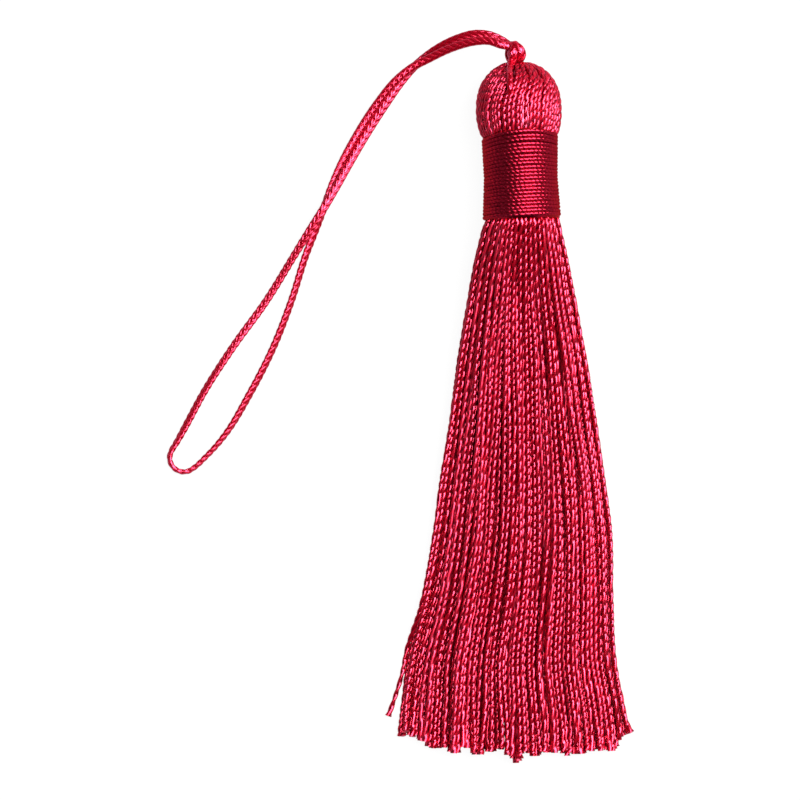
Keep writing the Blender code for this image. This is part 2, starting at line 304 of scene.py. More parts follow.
def plait_tree():
    """A flat plait along every spline: half its strands turn each way, over and under the rest."""
    inputs = {
        "Geometry": "Geometry",
        "Plait Width": 0.0009,
        "Plait Thickness": 0.00058,
        "Strand Width": 0.00036,
        "Strands Each Way": 4,
        "Sides": 8,
        "Turn Length": 0.0033,
        "Ring Spacing": 0.00018,
        "Crossing": 0.00004,
        "Core Width Share": 0.98,
        "Core Thickness Share": 0.90,
        "Material": "Material",
    }
    outputs = {"Geometry": "Geometry"}
    tree, w, given, result = new_tree("plait", "GeometryNodeTree", inputs, outputs)
    sockets = {"Curve": given["Geometry"], "Length": given["Ring Spacing"]}
    line = w.made("GeometryNodeResampleCurve", sockets, mode="LENGTH")
    run = w.add("GeometryNodeSplineParameter").outputs["Length"]
    across = w.made("GeometryNodeInputNormal")
    along = w.made("GeometryNodeInputTangent")
    upright = w.vector("CROSS_PRODUCT", along, across)
    line = w.stored(line, "across", across, "FLOAT_VECTOR")
    line = w.stored(line, "upright", upright, "FLOAT_VECTOR")
    line = w.stored(line, "run", w.over(run, MM))
    amount = w.times(given["Strands Each Way"], 2.0)
    sockets = {"Geometry": line, "Amount": amount}
    copies = w.add("GeometryNodeDuplicateElements", sockets, domain="SPLINE")
    number = copies.outputs["Duplicate Index"]
    way = w.math("MULTIPLY_ADD", w.math("MODULO", number, 2.0), 2.0, -1.0)
    order = w.math("FLOOR", w.times(number, 0.5))
    phase = w.over(w.times(order, math.tau), given["Strands Each Way"])
    distance = w.made("GeometryNodeInputNamedAttribute", {"Name": "run"})
    turned = w.over(w.times(distance, MM * math.tau), given["Turn Length"])
    angle = w.math("MULTIPLY_ADD", turned, way, phase)
    wave = w.math("SINE", w.times(angle, 2.0))
    lift = w.times(w.times(wave, way), given["Crossing"])
    offset = None
    for name, size, part in (
        ("across", given["Plait Width"], "COSINE"),
        ("upright", given["Plait Thickness"], "SINE"),
    ):
        reach = w.times(w.minus(size, given["Strand Width"]), 0.5)
        reach = w.times(w.math("ADD", reach, lift), w.math(part, angle))
        sockets = {"Name": name}
        axis = w.made("GeometryNodeInputNamedAttribute", sockets, data_type="FLOAT_VECTOR")
        step = w.scaled(axis, reach)
        offset = step if offset is None else w.vector("ADD", offset, step)
    strands = w.stored(copies.outputs["Geometry"], "tint", w.math("MODULO", number, 2.0))
    strands = w.placed(strands, "Offset", offset)
    ring, place = w.ring(given["Sides"])
    plaited = w.swept(strands, ring, w.times(given["Strand Width"], 0.5))
    wide = w.times(given["Plait Width"], given["Core Width Share"])
    thick = w.times(given["Plait Thickness"], given["Core Thickness Share"])
    sizes = w.scaled(w.made("ShaderNodeCombineXYZ", {0: wide, 1: thick, 2: 1.0}), 0.5)
    oval = w.placed(ring, "Position", w.vector("MULTIPLY", place, sizes))
    mesh = w.add("GeometryNodeJoinGeometry")
    for part in (plaited, w.swept(line, oval)):
        tree.links.new(part, mesh.inputs[0])
    finish_tree(w, given, result, mesh.outputs[0])


# ---- materials

SILK_ROUGHNESS = 0.26
# How far a thread's tint and the grain of its filaments move its colour from deep to light, and
# how much deeper it is in all.
TINT_SHARE = 0.5
GRAIN_SHARE = 0.9
DEEPENED = 0.2
# How far they change its roughness.
TINT_ROUGHENS = 0.2
GRAIN_ROUGHENS = 0.4
# Where the painted shade in a groove between the plies fades out, from 0 at its bottom to 1 at the
# thread's outer side.
GROOVE_SHADE_FADE = (0.15, 0.72)
# Each look of the silk: how dark the painted shade in its grooves is, share of metallic lustre,
# IOR,
#  colour of the lustre, and height of its filaments in metres.
SILK_LOOKS = {
    "thread_silk": (0.78, 0.68, 2.05, (1.0, 0.26, 0.46), 0.000008),
    "winding_silk": (0.35, 0.88, 2.00, (1.0, 0.10, 0.20), 0.000012),
    "plait_silk": (0.00, 0.62, 1.85, (1.0, 0.30, 0.58), 0.000003),
}


def silk_fibre_group():
    """Colour, roughness and height of fine filaments that run along a thread, with painted shade
    in the grooves between its plies.
    """
    inputs = {
        "Light Colour": (0.62, 0.012, 0.075, 1),
        "Deep Colour": (0.36, 0.003, 0.022, 1),
        "Groove Shade Colour": (0.05, 0.0004, 0.003, 1),
        "Groove Shade": 0.7,
        "Filaments": 6.0,
        "Stretch": 0.35,
        "Roughness": 0.36,
    }
    outputs = {"Colour": "Color", "Roughness": "Float", "Height": "Float"}
    tree, w, given, result = new_tree("silk fibre", "ShaderNodeTree", inputs, outputs)
    side = w.add("ShaderNodeAttribute", attribute_name="side").outputs["Vector"]
    run = w.add("ShaderNodeAttribute", attribute_name="run").outputs["Fac"]
    tint = w.add("ShaderNodeAttribute", attribute_name="tint").outputs["Fac"]
    along = w.times(run, given["Stretch"])
    axes = w.add("ShaderNodeSeparateXYZ", {0: w.scaled(side, given["Filaments"])}).outputs
    shift = w.times(tint, TINT_STEP)
    sockets = {0: axes[0], 1: axes[1], 2: w.math("ADD", along, shift)}
    place = w.made("ShaderNodeCombineXYZ", sockets)
    sockets = {"Vector": place, "Scale": 1.0, "Detail": 3.0, "Roughness": 0.65}
    grain = w.made("ShaderNodeTexNoise", sockets)
    strength = w.math("MULTIPLY_ADD", tint, TINT_SHARE, w.times(grain, GRAIN_SHARE))
    sockets = {0: w.minus(strength, DEEPENED), 6: given["Deep Colour"], 7: given["Light Colour"]}
    body = w.add("ShaderNodeMix", sockets, data_type="RGBA", clamp_factor=True).outputs[2]
    # Painted shade: the grooves between the plies are darkened toward the groove shade colour. A
    # surface with no side attribute, such as the head's core or the binding's backing, takes its
    # look's full painted shade.
    lobe = w.math("ABSOLUTE", w.add("ShaderNodeSeparateXYZ", {0: side}).outputs[0])
    sockets = {0: lobe, 1: GROOVE_SHADE_FADE[0], 2: GROOVE_SHADE_FADE[1], 3: 1.0, 4: 0.0}
    groove_shade = w.made("ShaderNodeMapRange", sockets, interpolation_type="SMOOTHSTEP")
    sockets = {0: w.times(groove_shade, given["Groove Shade"]), 6: body, 7: given["Groove Shade Colour"]}
    mixed = w.add("ShaderNodeMix", sockets, data_type="RGBA", clamp_factor=True).outputs[2]
    w.feed(result["Colour"], mixed)
    rough = w.math("MULTIPLY_ADD", w.minus(grain, 0.5), GRAIN_ROUGHENS, given["Roughness"])
    rough = w.math("MULTIPLY_ADD", w.minus(tint, 0.5), TINT_ROUGHENS, rough)
    w.feed(result["Roughness"], rough)
    w.feed(result["Height"], grain)
    return tree


def silk(name, group, colours, groove_shade, metallic, ior, sheen, depth):
    """Lustrous dyed silk: one look of the shared fibre group."""
    material = bpy.data.materials.new(name)
    material.use_nodes = True
    w = Wiring(material.node_tree)
    shader = material.node_tree.nodes["Principled BSDF"]
    sockets = {
        "Light Colour": (*colours.light, 1),
        "Deep Colour": (*colours.deep, 1),
        "Groove Shade": groove_shade,
        "Roughness": SILK_ROUGHNESS,
    }
    fibre = w.add("ShaderNodeGroup", sockets, node_tree=group).outputs
    sockets = {"Strength": 1.0, "Distance": depth, "Height": fibre["Height"]}
    sockets = {
        "Base Color": fibre["Colour"],
        "Roughness": fibre["Roughness"],
        "Normal": w.made("ShaderNodeBump", sockets),
        "Metallic": metallic,
        "IOR": ior,
        "Specular IOR Level": 1.0,
        "Specular Tint": (*sheen, 1),
    }
    for socket, value in sockets.items():
        w.feed(shader.inputs[socket], value)
    material.diffuse_color = (*colours.light, 1)
    return material


# ---- shared making

# Faces round a core that lies under threads.
CORE_STEPS = 48


def collection_of_guides():
    """The collection that holds guide curves for a while."""
    guides = bpy.data.collections.get("guides")
    if guides is None:
        guides = bpy.data.collections.new("guides")
        bpy.context.scene.collection.children.link(guides)
    return guides


def guide_curve(name, paths, twist="MINIMUM", tilts=None):
    """A curve of straight-sided splines through paths given in millimetres."""
    curve = bpy.data.curves.new(name, "CURVE")
    curve.dimensions = "3D"
    curve.twist_mode = twist
    for number, path in enumerate(paths):
        spline = curve.splines.new("POLY")
        spline.points.add(len(path) - 1)
        places = np.column_stack((np.array(path) * MM, np.ones(len(path))))
        spline.points.foreach_set("co", places.ravel())
        if tilts is not None:
            spline.points.foreach_set("tilt", tilts[number])
    guide = bpy.data.objects.new(name, curve)
    collection_of_guides().objects.link(guide)
    return guide


def kept(name, data):
    """Put a mesh, camera or lamp into the scene as an object of that name."""
    data.name = name
    made = bpy.data.objects.new(name, data)
    bpy.context.scene.collection.objects.link(made)
    return made


def grown(name, guide, tree_name, silk_name, values):
    """Run a node tree on a guide and keep what it makes as a plain mesh of silk."""
    tree = bpy.data.node_groups[tree_name]
    values = {**values, "Material": bpy.data.materials[silk_name]}
    modifier = guide.modifiers.new(tree_name, "NODES")
    modifier.node_group = tree
    for socket in tree.interface.items_tree:
        if socket.in_out == "INPUT" and socket.name in values:
            modifier[socket.identifier] = values[socket.name]
    bpy.context.view_layer.update()
    graph = bpy.context.evaluated_depsgraph_get()
    mesh = bpy.data.meshes.new_from_object(guide.evaluated_get(graph))
    bpy.data.objects.remove(guide)
    return kept(name, mesh)


def moulded(name, work, silk_name):
    """Keep a shape built face by face as a smooth mesh of silk."""
    mesh = bpy.data.meshes.new(name)
    work.to_mesh(mesh)
    work.free()
    mesh.shade_smooth()
    mesh.materials.append(bpy.data.materials[silk_name])
    return kept(name, mesh)


def joined(name, pieces):
    """Make one object of several and give it a new name."""
    for item in bpy.context.selected_objects:
        item.select_set(False)
    for item in pieces:
        item.select_set(True)
    bpy.context.view_layer.objects.active = pieces[0]
    bpy.ops.object.join()
    piece = bpy.context.view_layer.objects.active
    piece.name = name
    piece.data.name = name
    piece.select_set(False)
    return piece


def dress(piece, node):
    """Have a piece ride on the tassel in place of its solid."""
    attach(piece, "root")
    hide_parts(node)


def on_axis(angle, radius, depth):
    """A place round the tassel's axis: angle from +X upwards, and depth below the head's top."""
    across = radius * np.cos(angle)
    return np.stack(
        (
            HEAD_TOP[0] + across * math.cos(LEAN) + depth * math.sin(LEAN),
            HEAD_TOP[1] + across * math.sin(LEAN) - depth * math.cos(LEAN),
            AXIS_HEIGHT + radius * np.sin(angle),
        ),
        axis=-1,
    )


def turned_core(name, profile, silk_name):
    """A turned surface round the tassel's axis, closed at its poles. Rows are depth and radius."""
    angles = np.linspace(0, math.tau, CORE_STEPS, endpoint=False)
    rings = [on_axis(angles, radius, depth) for depth, radius in profile]
    work = bmesh.new()
    loops = [[work.verts.new(Vector(place) * MM) for place in ring] for ring in rings]
    for upper, lower in zip(loops, loops[1:]):
        for i in range(CORE_STEPS):
            k = (i + 1) % CORE_STEPS
            work.faces.new((upper[i], upper[k], lower[k], lower[i]))
    work.faces.new(loops[0])
    work.faces.new(list(reversed(loops[-1])))
    bmesh.ops.recalc_face_normals(work, faces=work.faces)
    return moulded(name, work, silk_name)


def smooth_path(points, step):
    """A smooth curve through the points, read every step."""
    places = np.array(points)
    spans = np.diff(places, axis=0)
    lengths = np.linalg.norm(spans, axis=1)[:, None]
    slopes = spans / lengths
    before, after = lengths[:-1], lengths[1:]
    bends = (slopes[:-1] * after + slopes[1:] * before) / (before + after)
    headings = np.vstack((slopes[:1], bends, slopes[-1:]))
    fine = []
    for i, span in enumerate(spans):
        count = max(2, math.ceil(lengths[i, 0] / step))
        for t in np.linspace(0, 1, count, endpoint=False):
            leave = headings[i] * lengths[i] * t * (1 - t) ** 2
            arrive = headings[i + 1] * lengths[i] * t**2 * (1 - t)
            fine.append(places[i] + span * t**2 * (3 - 2 * t) + leave - arrive)
    fine.append(places[-1])
    return np.array(fine)


# ---- settings


def length_property(name, description, default):
    """A length in metres, shown to a hundredth of a millimetre."""
    return FloatProperty(
        name=name, description=description, default=default, unit="LENGTH", precision=5
    )


def silk_property(name, where, default):
    """The silk's colour where it is palest or deepest."""
    description = f"Silk colour where it is {where}"
    return FloatVectorProperty(
        name=name, description=description, default=default, subtype="COLOR"
    )


class TasselStageSettings(bpy.types.PropertyGroup):
    camera_height: length_property("Camera Height", "Height of the camera over the floor", 0.6)
    view_width: length_property("View Width", "Width of the field at the tassel's middle", 0.092)
    floor_size: length_property("Floor Size", "Side of the square floor", 3.0)
    key_power: FloatProperty(
        name="Key Power", description="Power of the main softbox", default=20.5, unit="POWER"
    )
    fill_strength: FloatProperty(
        name="Fill Strength", description="Strength of the even light all round", default=0.015
    )


class TasselThreadSettings(bpy.types.PropertyGroup):
    width: length_property("Thread Width", "Width of the two-ply thread", 0.00058)
    lay: length_property("Lay Length", "Length in which the plies turn once", 0.00235)
    light: silk_property("Light Silk", "palest", (0.53, 0.0045, 0.026))
    deep: silk_property("Deep Silk", "deepest", (0.32, 0.0006, 0.0065))
    columns: IntProperty(
        name="Skirt Columns", description="Columns of threads across the skirt", default=36
    )
    middle_column: FloatProperty(
        name="Middle Column", description="Threads in the skirt's middle column", default=5.4
    )
    head_threads: IntProperty(
        name="Head Threads", description="Threads doubled over round the head", default=54
    )
    head_width: length_property("Head Thread Width", "Width of a thread on the head", 0.00058)


class TasselBindingSettings(bpy.types.PropertyGroup):
    turns: IntProperty(name="Turns", description="Turns of thread round the neck", default=23)
    width: length_property("Thread Width", "Width of the binding thread", 0.00054)
    lay: length_property("Lay Length", "Length in which its plies turn once", 0.0011)
    light: silk_property("Light Silk", "palest", (0.31, 0.012, 0.034))
    deep: silk_property("Deep Silk", "deepest", (0.20, 0.0008, 0.005))


class TasselCordSettings(bpy.types.PropertyGroup):
    width: length_property("Cord Width", "Width of the plaited cord", 0.00098)
    thickness: length_property("Cord Thickness", "Thickness of the plaited cord", 0.00058)
    strand: length_property("Strand Width", "Width of one strand of the plait", 0.00036)
    turn: length_property("Turn Length", "Length in which a strand goes round once", 0.0033)
    light: silk_property("Light Silk", "palest", (0.44, 0.0007, 0.0126))
    deep: silk_property("Deep Silk", "deepest", (0.253, 0.0004, 0.004))


# ---- skirt

SKIRT_PIECES = 4
PLACE_SEED = 11
THREAD_SEED = 20
# A column at the skirt's edge still has this many threads.
LEAST_COLUMN = 3
# Least distance between two threads' centres, in the open skirt and inside the neck.
STRAND_GAP = 0.56
NECK_GAP = 0.45
# Crowded threads are pushed apart: passes, share of the overlap that each takes away, and share
# of the pushes that the next section keeps.
SETTLING_PASSES = 50
SETTLING_RATE = 0.25
SHIFT_KEPT = 0.92
# How far the threads stray from their even places, across and up.
SCATTER = (0.10, 0.15)
# The lowest levels lie evenly, so that no gap goes right through to the floor.
EVEN_LEVELS = 2
# Threads on top that cross their neighbours: how many, how far at most, the least share of that,
# how near the middle they start, and where down the skirt and over what length they cross.
CROSSING_THREADS = 14
CROSSING_REACH = 1.3
CROSSING_LEAST = 0.4
CROSSING_WITHIN = 0.65
CROSSING_START = 12
CROSSING_LENGTH = 40
# The threads on top gather in locks that fade out at the edges; deeper ones show between.
LOCKS = 7.3
LOCK_PHASE = 1.0
LOCK_PULL = 0.36
LOCK_RISE = 0.16
LOCK_FADE = 4
# Tufts at the hem: their width, how far threads are drawn into them, the share of that for
# deeper threads, and how much shorter it makes them.
TUFT_WIDTH = 1.3
TUFT_PULL = 0.30
TUFT_PULL_BELOW = 0.3
TUFT_SHORTENS = 1.2
# How far the lengths of tufts and of single threads differ, and how far ends splay.
TUFT_SCATTER = 0.45
LENGTH_SCATTER = 0.40
END_SPLAY = 0.08
# A thread is buried under this many others, this close beside it and this far above it.
BURIED_UNDER = 2
BESIDE = 0.30
ABOVE = 0.25
# Threads that show get more sides and closer rings than buried ones.
THREAD_DETAIL = {
    False: {"Sides": 12, "Ring Spacing": 0.00025},
    True: {"Sides": 8, "Ring Spacing": 0.0005},
}


def strand_places(columns, middle_column):
    """Each strand's place across the skirt and up its column, both -1 to 1, and its level.

    Every second level is shifted by half a column, so that it fills the gaps of the next.
    """
    places = []
    for column in range(columns):
        across = (2 * column + 1) / columns - 1
        count = max(LEAST_COLUMN, round(middle_column * math.sqrt(1 - across**2)))
        stagger = (column % 2 + 0.5) / 2
        for level in range(count):
            aside = (level % 2 - 0.5) / columns
            places.append((across + aside, 2 * (level + stagger) / count - 1, level))
    return np.array(places).T


def settle(places, spacing, floor):
    """Push threads of one cross-section apart where they crowd, and keep them off the floor."""
    places = places.copy()
    for _ in range(SETTLING_PASSES):
        between = places[:, None] - places[None, :]
        distance = np.linalg.norm(between, axis=2)
        np.fill_diagonal(distance, np.inf)
        crowding = np.clip(spacing - distance, 0, None) / distance
        places += SETTLING_RATE * (between * crowding[:, :, None]).sum(axis=1)
        places[:, 1] = np.maximum(places[:, 1], floor)
    return places


def skirt_paths(threads):
    """One path of centres a thread, from inside the neck to its cut end at the hem."""
    rng = np.random.default_rng(PLACE_SEED)
    radius = threads.width / MM / 2
    across, up, level = strand_places(threads.columns, threads.middle_column)
    count = across.size
    chord = np.sqrt(1 - across**2) * up
    bundle = AXIS_HEIGHT + BUNDLE_RADIUS * chord
    heap = radius + HEAP_PITCH * level
    top = np.append(np.diff(level) <= 0, True)
    inner = top * np.clip(LOCK_FADE * (1 - np.abs(across)), 0, 1)
    lowest = level < EVEN_LEVELS
    crossing = np.zeros(count)
    able = np.flatnonzero(top & (np.abs(across) < CROSSING_WITHIN))
    chosen = rng.choice(able, CROSSING_THREADS, replace=False)
    crossing[chosen] = rng.choice((-1, 1), CROSSING_THREADS)
    crossing[chosen] *= rng.uniform(CROSSING_LEAST, 1, CROSSING_THREADS)
    middle = HEAD_TOP[0] + math.tan(LEAN) * (HEAD_TOP[1] - ROOT_Y)
    drawn = np.column_stack((middle + ROOT_RADIUS * across, AXIS_HEIGHT + ROOT_RADIUS * chord))
    settled = settle(drawn, NECK_GAP, radius)
    sections = [settled]
    for y, left, right, sunk in SKIRT:
        shift = settled - drawn
        half = (right - left - 2 * radius) / 2
        x = (left + right) / 2 + half * across
        over = min(1, max(0, (CROSSING_START - y) / CROSSING_LENGTH))
        x += CROSSING_REACH * crossing * over
        lock = LOCKS * math.pi * across + LOCK_PHASE + over
        gathered = inner * min(1, 2 * over)
        x += LOCK_PULL * np.sin(lock) * gathered
        raised = np.abs(crossing) * math.sin(math.pi * over) * 2 * radius
        raised -= LOCK_RISE * np.cos(lock) * gathered
        drawn = np.column_stack((x, bundle + (heap - bundle) * sunk + raised))
        scatter = rng.normal(0, SCATTER, drawn.shape) * min(1, sunk * 2)
        gap = NECK_GAP + (STRAND_GAP - NECK_GAP) * min(1, sunk * 2)
        settled = settle(drawn + shift * SHIFT_KEPT + scatter, gap, radius)
        evened = lowest * min(1, 2 * sunk)
        settled[:, 0] += (drawn[:, 0] - settled[:, 0]) * evened
        settled[:, 0] = np.clip(settled[:, 0], left + radius, right - radius)
        sections.append(settled)
    sections = np.array(sections)
    y = np.repeat([[ROOT_Y], *([row[0]] for row in SKIRT)], count, axis=1)
    hem_x, hem_y = zip(*HEM)
    end_x = sections[-1, :, 0]
    tuft = np.floor(end_x / TUFT_WIDTH + 0.5)
    pull = (tuft * TUFT_WIDTH - end_x) * TUFT_PULL * np.where(top, 1, TUFT_PULL_BELOW)
    sections[-1, :, 0] += pull + rng.normal(0, END_SPLAY, count)
    sections[-2, :, 0] += pull * 0.5
    sections[-1, :, 1] += np.abs(rng.normal(0, END_SPLAY, count))
    y[-1] = np.interp(end_x, hem_x, hem_y)
    tuft = (tuft - tuft.min()).astype(int)
    y[-1] += rng.uniform(-TUFT_SCATTER, TUFT_SCATTER, tuft.max() + 1)[tuft]
    y[-1] += TUFT_SHORTENS * np.abs(pull) + rng.uniform(0, LENGTH_SCATTER, count)
    paths = list(np.stack((sections[:, :, 0], y, sections[:, :, 1]), axis=2).transpose(1, 0, 2))
    outermost = int(np.argmin(sections[-1, :, 0]))
    before = [place for place in paths[outermost] if place[1] > STRAY[0][1] + STRAY_LEAD]
    paths[outermost] = np.array([*before, *STRAY])
    return paths, buried(sections)


def buried(sections):
    """Whether each thread lies under others along all but a quarter of its length."""
    x, z = sections[:, :, 0], sections[:, :, 1]
    beside = np.abs(x[:, :, None] - x[:, None, :]) < BESIDE
    above = z[:, None, :] - z[:, :, None] > ABOVE
    return np.percentile((beside & above).sum(axis=2), 25, axis=0) >= BURIED_UNDER


class TASSEL_OT_skirt(bpy.types.Operator):
    """Make the skirt's threads, in a few pieces side by side."""

    bl_idname = "tassel.skirt"
    bl_label = "Make Skirt"

    def execute(self, context):
        threads = context.scene.tassel_threads
        paths, under = skirt_paths(threads)
        share = math.ceil(len(paths) / SKIRT_PIECES)
        for number in range(SKIRT_PIECES):
            made = []
            strip = range(number * share, min((number + 1) * share, len(paths)))
            for hidden, detail in THREAD_DETAIL.items():
                some = [paths[i] for i in strip if under[i] == hidden]
                values = {
                    "Thread Width": threads.width,
                    "Lay Length": threads.lay,
                    "Lay Spread": 0.3,
                    "Uneven Twist": 7.0,
                    "Wander": 0.00010,
                    "Flare": 0.50,
                    "Flare Length": 0.002,
                    "Seed": THREAD_SEED + 2 * number + hidden,
                    **detail,
                }
                guide = guide_curve("skirt_guide", some)
                made.append(grown("skirt", guide, "twisted thread", "thread_silk", values))
            piece = joined(f"skirt_threads_{number + 1}", made)
            dress(piece, "thread_hank")
        return {"FINISHED"}


# ---- head

HEAD_SEED = 5
# The core under the threads, dark with painted shade: how far it lies below the threads, how much
# lower it starts, and its top's radius.
CORE_DEPTH = 0.42
CORE_START = 0.3
CORE_TOP = 0.3
# Share of their width that crowded threads keep, how far down a thread dips that finds no room,
# and over what share of the lack of room.
HEAD_SQUEEZE = 0.90
HEAD_DIP = 0.50
HEAD_DIP_FADE = 0.15
# The threads turn a little round the axis on their way down, some more than others (radians).
HEAD_SWIRL = 0.26
HEAD_SWIRL_FROM = 0.8
HEAD_SWIRL_DEPTH = 5.0
HEAD_DRIFT = 0.05
HEAD_DRIFT_WAVES = (2, 3, 5, 8)
# How far a thread is off its even place, as a share of the distance to the next.
HEAD_JITTER = 0.2
# How far a thread stands out or in, from what depth, and at how many places that changes.
HEAD_PROUD = 0.035
HEAD_PROUD_FROM = -0.3
HEAD_STATIONS = 6
# A thread comes no nearer the axis than this.
HEAD_LEAST_RADIUS = 0.15
# Share of its radius by which the ball's near side falls off towards the binding, from what depth
# and over what length.
HEAD_SLOPE = 0.07
HEAD_SLOPE_FROM = 4.0
HEAD_SLOPE_LENGTH = 4.0


def head_paths(threads):
    """Threads doubled over the ball. Where they crowd near its top, more and more dip below."""
    radius = threads.head_width / MM / 2
    profile = np.array(CROWN_PROFILE + HEAD_PROFILE + NECK_PROFILE)
    outward = np.gradient(profile, axis=0)
    outward = np.column_stack((-outward[:, 1], outward[:, 0]))
    outward /= np.linalg.norm(outward, axis=1)[:, None]
    centre = profile - outward * radius
    rng = np.random.default_rng(HEAD_SEED)
    count = threads.head_threads
    room = np.clip(math.tau * centre[:, 1] / (count * 2 * radius * HEAD_SQUEEZE), 0, 1)
    depth = profile[:, 0]
    stations = np.linspace(HEAD_PROUD_FROM, HEAD_PROFILE[-1][0], HEAD_STATIONS)
    share = np.clip((depth - HEAD_SWIRL_FROM) / HEAD_SWIRL_DEPTH, 0, 1)
    eased = share * share * (3 - 2 * share)
    phases = rng.uniform(0, math.tau, len(HEAD_DRIFT_WAVES))
    slope = np.clip((depth - HEAD_SLOPE_FROM) / HEAD_SLOPE_LENGTH, 0, 1)
    paths = []
    for number in range(count):
        # The number's bits in reverse spread the threads that dip evenly round the ball.
        rank = sum(int(bit) / 2 ** (i + 1) for i, bit in enumerate(bin(number)[:1:-1]))
        angle = math.tau * (number + rng.uniform(-HEAD_JITTER, HEAD_JITTER)) / count
        waves = zip(HEAD_DRIFT_WAVES, phases)
        drift = sum(np.sin(wave * angle + phase) / wave for wave, phase in waves)
        angle = angle + HEAD_SWIRL * eased + HEAD_DRIFT * drift * np.sin(math.pi * eased)
        proud = rng.uniform(-HEAD_PROUD, HEAD_PROUD, HEAD_STATIONS)
        sunk = HEAD_DIP * np.clip((rank - room) / HEAD_DIP_FADE, 0, 1)
        sunk -= np.interp(depth, stations, proud)
        lie = centre - outward * sunk[:, None]
        lie[:, 1] = np.maximum(lie[:, 1], HEAD_LEAST_RADIUS)
        lie[:, 1] *= 1 - HEAD_SLOPE * np.clip(np.sin(angle), 0, 1) * slope
        path = on_axis(angle, lie[:, 1], lie[:, 0])
        path[:, 2] = np.maximum(path[:, 2], radius)
        paths.append(path)
    return paths


class TASSEL_OT_head(bpy.types.Operator):
    """Make the head: its doubled-over threads round a core that painted shade makes dark."""

    bl_idname = "tassel.head"
    bl_label = "Make Head"

    def execute(self, context):
        threads = context.scene.tassel_threads
        guide = guide_curve("head_guide", head_paths(threads))
        values = {
            "Thread Width": threads.head_width,
            "Waist": 0.68,
            "Lay Length": threads.lay * 0.76,
            "Ring Spacing": 0.00016,
            "Lay Spread": 0.2,
            "Uneven Twist": 2.5,
            "Wander": 0.00004,
            "Wander Length": 0.003,
            "Seed": 40,
        }
        strands = grown("head_strands", guide, "twisted thread", "thread_silk", values)
        outer = HEAD_PROFILE + NECK_PROFILE
        inner = [(depth + CORE_START, radius - CORE_DEPTH) for depth, radius in outer]
        inner.insert(0, (inner[0][0], CORE_TOP))
        core = turned_core("head_core", inner, "thread_silk")
        piece = joined("head_threads", [strands, core])
        dress(piece, "thread_hank")
        return {"FINISHED"}


# ---- binding

# Points of the winding's path in one turn.
TURN_POINTS = 32
# The side of the ball where the first turns ride: its shift in angle, and how narrow it is.
RIDE_ANGLE = 0.12
RIDE_NARROWS = 1.5
# How far the turns wander along the neck, and after how many points that changes.
TURN_WANDER = 0.022
WANDER_POINTS = 8
WANDER_SEED = 9
# The solid backing under the turns: where a ring of points lies on its flat ends, how much shorter
# it is at each end, and how deep it lies as a share of the thread's radius.
BACKING_RING = 3.5
BACKING_SHORT = 0.12
BACKING_SUNK = 0.55


class TASSEL_OT_binding(bpy.types.Operator):
    """Wind the binding's thread round the neck, over a backing that closes the gaps."""

    bl_idname = "tassel.binding"
    bl_label = "Make Binding"

    def execute(self, context):
        binding = context.scene.tassel_binding
        radius = binding.width / MM / 2
        turn = np.arange(binding.turns * TURN_POINTS + 1) / TURN_POINTS
        share = turn / binding.turns
        angle = math.tau * turn - math.pi / 2
        near = np.clip(np.sin(angle + RIDE_ANGLE), 0, 1) ** RIDE_NARROWS
        riding = np.exp(-turn / RIDE_TURNS) * near
        outer = np.interp(share, (0, 0.5, 1), BINDING_RADII) + RIDE_OUT * riding
        start, end = BINDING_START + radius, BINDING_END - radius
        depth = start + (end - start) * share - RIDE_UP * riding
        rng = np.random.default_rng(WANDER_SEED)
        wander = rng.normal(0, TURN_WANDER, turn.size // WANDER_POINTS + 2)
        depth += np.interp(np.arange(turn.size) / WANDER_POINTS, np.arange(wander.size), wander)
        path = on_axis(angle, outer - radius, depth)
        guide = guide_curve("binding_guide", [path])
        values = {
            "Thread Width": binding.width,
            "Waist": 0.82,
            "Lay Length": binding.lay,
            "Ring Spacing": 0.00019,
            "Seed": 60,
        }
        wound = grown("binding_thread", guide, "twisted thread", "winding_silk", values)
        ends = (BINDING_START + BACKING_SHORT, BINDING_END - BACKING_SHORT)
        depths = (ends[0], sum(ends) / 2, ends[1])
        wall = [(d, r - radius * BACKING_SUNK) for d, r in zip(depths, BINDING_RADII)]
        profile = [(ends[0], BACKING_RING), *wall, (ends[1], BACKING_RING)]
        core = turned_core("binding_backing", profile, "winding_silk")
        piece = joined("binding_thread", [wound, core])
        dress(piece, "binding")
        return {"FINISHED"}


# ---- cord

# The knot: the cord's centre as it wraps round the two legs, and the middle that it closes over.
KNOT_ROUTE = (
    (0.10, 40.90, 4.30), (-0.28, 41.05, 5.00), (0.06, 41.12, 5.62), (0.62, 40.95, 5.98),
    (1.02, 40.55, 6.10), (1.18, 40.10, 5.98), (1.05, 39.68, 5.75), (0.72, 39.38, 5.30),
    (0.35, 39.30, 4.60), (0.00, 39.45, 4.10), (-0.25, 40.00, 4.00), (-0.20, 40.70, 4.10),
    (0.15, 41.15, 4.45), (0.48, 41.20, 5.00), (0.35, 41.00, 5.60), (0.20, 40.70, 5.95),
    (0.22, 40.30, 6.10), (0.22, 39.85, 5.95), (0.12, 39.45, 5.70), (0.05, 39.05, 5.60),
)
KNOT_MIDDLE = (0.38, 40.20, 4.95)
KNOT_MIDDLE_RADII = (0.88, 0.90, 0.80)
# The short stretch of cord from the knot down over the ball, to where it goes in.
HEAD_LOOP = (
    (0.00, 39.60, 5.60), (-0.20, 38.95, 6.30), (-0.26, 38.62, 7.00), (-0.28, 38.10, 7.95),
    (-0.26, 37.30, 8.75), (-0.25, 36.50, 9.20), (-0.25, 35.80, 9.30), (-0.25, 35.30, 8.95),
)
# It is pressed narrower than the free cord, and plaited finer.
PRESSED = {"Plait Width": 0.72, "Plait Thickness": 0.9, "Strand Width": 0.8, "Turn Length": 0.5}
FINER = {"Strands Each Way": 2, "Crossing": 0.00007}


